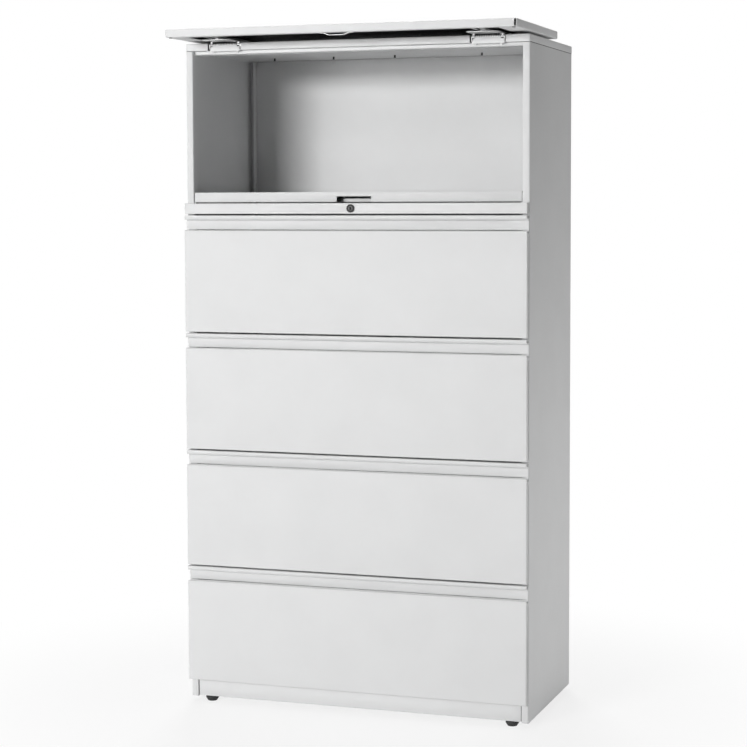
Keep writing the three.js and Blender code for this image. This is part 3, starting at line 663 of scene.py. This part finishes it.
COVER_FRONT = 6.1 * MM
COVER_STEEL = 1.2 * MM
COVER_TOP = 1.2 * MM
COVER_SHOULDER = 5.6 * MM
COVER_LEFT = 4.5 * MM
COVER_RIGHT = 1.0 * MM
KNUCKLE_ROOM = 9.2 * MM


def spring_cover(side):
    """A folded plate in front of the lower half of a spring, cut lower where the knuckles swing."""
    pin = Vector(joint_of["door_hinge"]["pos_m"])
    low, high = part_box(f"{side}_hinge_block")
    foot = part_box("top_panel")[0].z - 2.5 * MM
    front = pin.y - COVER_FRONT
    cover = block(
        f"{side}_spring_cover",
        (low.x + COVER_LEFT, front, foot),
        (high.x - COVER_RIGHT, front + COVER_STEEL, pin.z - COVER_SHOULDER),
    )
    inner = (low.x + KNUCKLE_ROOM, high.x - KNUCKLE_ROOM)
    with editing(cover):
        for x in inner:
            slice_at((x, 0, 0), (1, 0, 0))
        slice_at((0, 0, foot + COVER_STEEL), (0, 0, 1))
        pick_faces(cover, lambda spot, normal: normal.z > 0.9 and inner[0] < spot.x < inner[1])
        extrude((0, 0, COVER_SHOULDER - COVER_TOP))
        pick_faces(cover, lambda spot, normal: normal.y > 0.9 and spot.z < foot + COVER_STEEL)
        extrude((0, COVER_FRONT - COVER_STEEL - MM, 0))
    ease(cover, 0.4 * MM, 3)
    dress(cover, "case", "paint")


SCREW_HEAD = 3.4 * MM
SCREW_RISE = 1.7 * MM
SCREW_EDGE = 0.5 * MM
RECESS_ARM = 0.8 * MM


def pan_head_screw():
    """A low pan head with a cross recess, its seat at z = 0."""
    crown = SCREW_RISE - SCREW_EDGE
    dome = [(SCREW_HEAD * math.cos(a), SCREW_EDGE + crown * math.sin(a))
            for a in (math.radians(15 * k) for k in range(7))]
    screw = turned("screw", [(0, 0), (SCREW_HEAD, 0), *dome[:-1], (0, SCREW_RISE)], 24)
    half = RECESS_ARM / 2
    cross = block("recess", (-half, -half, 0.6 * MM), (half, half, 2 * SCREW_RISE))
    with editing(cross):
        pick_faces(cross, lambda spot, normal: abs(normal.z) < 0.1)
        bpy.ops.mesh.extrude_faces_move(TRANSFORM_OT_shrink_fatten={"value": 1.3 * MM})
    cut_away(screw, cross)
    take(screw)
    bpy.ops.object.shade_smooth_by_angle(angle=math.radians(35))
    return screw


SCREW_SPREAD = 17 * MM
SCREW_SETBACK = 8 * MM
LEAF_DROP = 4.1 * MM


def carriage_screws(screw):
    """Two screw heads under the front of each carriage's leaf."""
    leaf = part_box("door_outer_pan")[0].z - LEAF_DROP
    for side in ("left", "right"):
        node = f"{side}_door_carriage"
        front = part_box(node)[0].y + SCREW_SETBACK
        for word, reach in (("inner", -SCREW_SPREAD), ("outer", SCREW_SPREAD)):
            x = middle(node).x + (reach if side == "right" else -reach)
            head = copy_to(screw, f"{side}_carriage_{word}_screw", (x, front, leaf), (math.pi, 0, 0))
            dress(head, body_of[node], "zinc")


# Lock: the ring and the key plug

PLUG_BORE = 6.4 * MM
RING_BODY = 8.8 * MM
RING_ROUND = 1.2 * MM
RING_STEP = 0.6 * MM
FLANGE = 2.7 * MM
KEYWAY = Vector((2.2, 9.0, 3.6)) * MM
TO_FRONT = (math.pi / 2, 0, 0)


def lock_ring():
    """The flanged barrel, with a rounded rim and a dished face round the plug."""
    low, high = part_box("lock_barrel")
    axis = middle("lock_barrel")
    rim = (high.x - low.x) / 2
    depth = high.y - low.y
    profile = [
        (PLUG_BORE, 0),
        (RING_BODY, 0),
        (RING_BODY, depth - FLANGE),
        (rim, depth - FLANGE),
        *arc((rim - RING_ROUND, depth - RING_ROUND), RING_ROUND, 0, 90),
        (PLUG_BORE + 2.0 * MM, depth),
        (PLUG_BORE + 1.2 * MM, depth - RING_STEP),
        (PLUG_BORE, depth - RING_STEP),
        (PLUG_BORE, 0),
    ]
    ring = turned("lock_ring", profile, 64)
    seat(ring, (axis.x, high.y, axis.z), TO_FRONT)
    dress(ring, body_of["lock_barrel"], "lock_metal")
    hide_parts("lock_barrel")


def key_plug():
    """The plug, with a chamfered face, a keyway and the stub that carries the cam."""
    low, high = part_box("lock_plug")
    axis = middle("lock_plug")
    radius = (high.x - low.x) / 2
    depth = high.y - low.y
    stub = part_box("lock_cam")[0].y
    shoulder = high.y - stub + 0.3 * MM
    profile = [
        (0, 0),
        (4 * MM, 0),
        (4 * MM, shoulder),
        (radius, shoulder),
        (radius, depth - 0.7 * MM),
        (radius - 0.7 * MM, depth - 0.2 * MM),
        (radius - 1.6 * MM, depth),
        (0, depth),
    ]
    plug = turned("key_plug", profile, 64)
    seat(plug, (axis.x, high.y, axis.z), TO_FRONT)
    face = Vector((axis.x, low.y, axis.z))
    keyway = block(
        "keyway",
        face - Vector((KEYWAY.x, KEYWAY.y, KEYWAY.z)),
        face + Vector((KEYWAY.x, KEYWAY.y, KEYWAY.z)),
    )
    cut_away(plug, keyway)
    take(plug)
    bpy.ops.object.shade_smooth_by_angle(angle=math.radians(35))
    dress(plug, body_of["lock_plug"], "lock_metal", plug_nickel)
    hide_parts("lock_plug")


# Glides and bumpers

FOOT_RISE = 13.4 * MM
COLLAR_RADIUS = 9 * MM
STEM_RADIUS = 5 * MM
THREAD_PITCH = 1.5 * MM
THREAD_DEPTH = 0.6 * MM


def glide_parts():
    """One rubber foot, its hexagon collar and its threaded stem, standing on the origin."""
    low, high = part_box("front_left_glide")
    radius = (high.x - low.x) / 2
    foot = turned("foot", [
        (0, 0.4 * MM),
        (radius - 8 * MM, 0.4 * MM),
        (radius - 7 * MM, 0),
        *arc((radius - 6 * MM, 1.5 * MM), 1.5 * MM, -90, -25),
        *arc((radius - 1.5 * MM, 8.5 * MM), 1.5 * MM, -25, 0, 3),
        *arc((radius - 1.2 * MM, FOOT_RISE - 1.2 * MM), 1.2 * MM, 0, 90),
        (COLLAR_RADIUS + 0.5 * MM, FOOT_RISE),
        (0, FOOT_RISE),
    ])
    hub_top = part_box("base_pan")[0].z - 0.3 * MM
    bpy.ops.object.select_all(action="DESELECT")
    bpy.ops.mesh.primitive_circle_add(vertices=6, radius=COLLAR_RADIUS, fill_type="NGON",
                                      location=(0, 0, FOOT_RISE))
    collar = bpy.context.object
    collar.name = "collar"
    with editing(collar):
        extrude((0, 0, hub_top - FOOT_RISE))
        bpy.ops.mesh.select_all(action="SELECT")
        bpy.ops.mesh.normals_make_consistent(inside=False)
    seat(collar, (0, 0, FOOT_RISE))
    ease(collar, 0.8 * MM, 3)
    count = int((high.z - hub_top) / THREAD_PITCH)
    ridges = [
        point
        for k in range(count)
        for point in (
            (STEM_RADIUS - THREAD_DEPTH, hub_top + k * THREAD_PITCH),
            (STEM_RADIUS, hub_top + (k + 0.5) * THREAD_PITCH),
        )
    ]
    stem = turned("stem", [
        (0, hub_top),
        *ridges,
        (STEM_RADIUS - THREAD_DEPTH, hub_top + count * THREAD_PITCH),
        (0, hub_top + count * THREAD_PITCH),
    ], 24)
    return (("foot", foot, "rubber"), ("collar", collar, "zinc"), ("stem", stem, "zinc"))


def make_glides():
    parts = glide_parts()
    for end in ("front", "rear"):
        for side in ("left", "right"):
            node = f"{end}_{side}_glide"
            spot = middle(node)
            for word, part, slot in parts:
                piece = copy_to(part, f"{node}_{word}", (spot.x, spot.y, 0))
                dress(piece, body_of[node], slot)
                if word == "foot":
                    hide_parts(node)
    for _, part, _ in parts:
        bpy.data.objects.remove(part)


def make_bumpers():
    """Domed rubber pads under the front corners of the door."""
    low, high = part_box("left_door_bumper")
    radius = (high.x - low.x) / 2
    rise = high.z - low.z
    dome = [(radius * math.cos(a), rise * (0.4 + 0.6 * math.sin(a)))
            for a in (math.radians(15 * k) for k in range(6))]
    pad = turned("pad", [(0, 0), (radius, 0), *dome, (0, rise)], 32)
    for node in ("left_door_bumper", "right_door_bumper"):
        spot = middle(node)
        piece = copy_to(pad, f"{node}_pad", (spot.x, spot.y, high.z), (math.pi, 0, 0))
        dress(piece, body_of[node], "rubber")
        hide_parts(node)
    bpy.data.objects.remove(pad)


# Small marks of the sheet work

HOOK_PLACES = (-338 * MM, -168 * MM, 5 * MM, 245 * MM)
HOOK_SETBACK = 318 * MM
HOOK_WIDTH = 4.6 * MM
HOOK_DROP = 7.5 * MM
HOOK_STEEL = 1.2 * MM
HOOK_TOE = 3 * MM


def ceiling_hooks():
    """Small hooks lanced out of the compartment's ceiling."""
    low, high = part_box("top_panel")
    y = low.y + HOOK_SETBACK
    half = HOOK_WIDTH / 2
    hook = block("hook", (-half, y, low.z - HOOK_DROP), (half, y + HOOK_STEEL, low.z))
    toe = low.z - HOOK_DROP + HOOK_STEEL
    with editing(hook):
        slice_at((0, 0, toe), (0, 0, 1))
        pick_faces(hook, lambda spot, normal: normal.y < -0.9 and spot.z < toe)
        extrude((0, -HOOK_TOE, 0))
    ease(hook, 0.25 * MM)
    for k, x in enumerate(HOOK_PLACES):
        piece = copy_to(hook, f"ceiling_hook_{k + 1}", (x, 0, 0))
        # The hooks are near-black: painted shade for the dark openings lanced behind them.
        dress(piece, "case", "dark_paint")
    bpy.data.objects.remove(hook)


WELD_RADIUS = 3.2 * MM
WELD_DEPTH = 0.35 * MM
WELD_PITCH = 140 * MM
WELD_INSET = 11 * MM


def weld_marks(panel):
    """Dents of spot welds along the upright edges of the back."""
    low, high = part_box("back_panel")
    dent = turned("dent", [
        (0, -WELD_DEPTH),
        (WELD_RADIUS * 0.6, -WELD_DEPTH),
        (WELD_RADIUS, 0),
        (WELD_RADIUS, MM),
        (0, MM),
    ], 20)
    count = int((high.z - low.z) / WELD_PITCH)
    first = (low.z + high.z - (count - 1) * WELD_PITCH) / 2
    dents = [
        copy_to(dent, "weld", (x, high.y, first + k * WELD_PITCH), (-math.pi / 2, 0, 0))
        for x in (low.x + WELD_INSET, high.x - WELD_INSET)
        for k in range(count)
    ]
    bpy.data.objects.remove(dent)
    cut_away(panel, joined(dents, "welds"))
    take(panel)
    bpy.ops.object.shade_smooth_by_angle(angle=math.radians(35))


make_camera()
make_world()
make_floor()
make_lights()
modelled_anew = {
    "left_hinge_spring",
    "right_hinge_spring",
    "lock_barrel",
    "lock_plug",
    "left_door_bumper",
    "right_door_bumper",
    *(node for node in frame["nodes"] if node.endswith("_glide")),
}
for node in frame["nodes"]:
    if node not in modelled_anew:
        piece = finished_copy(node)
        if node == "back_panel":
            weld_marks(piece)
for side in ("left", "right"):
    joint_strips(side)
    hinge_spring(f"{side}_hinge_spring")
    spring_cover(side)
back_strip()
slot_filler()
screw = pan_head_screw()
carriage_screws(screw)
bpy.data.objects.remove(screw)
lock_ring()
key_plug()
make_glides()
make_bumpers()
ceiling_hooks()
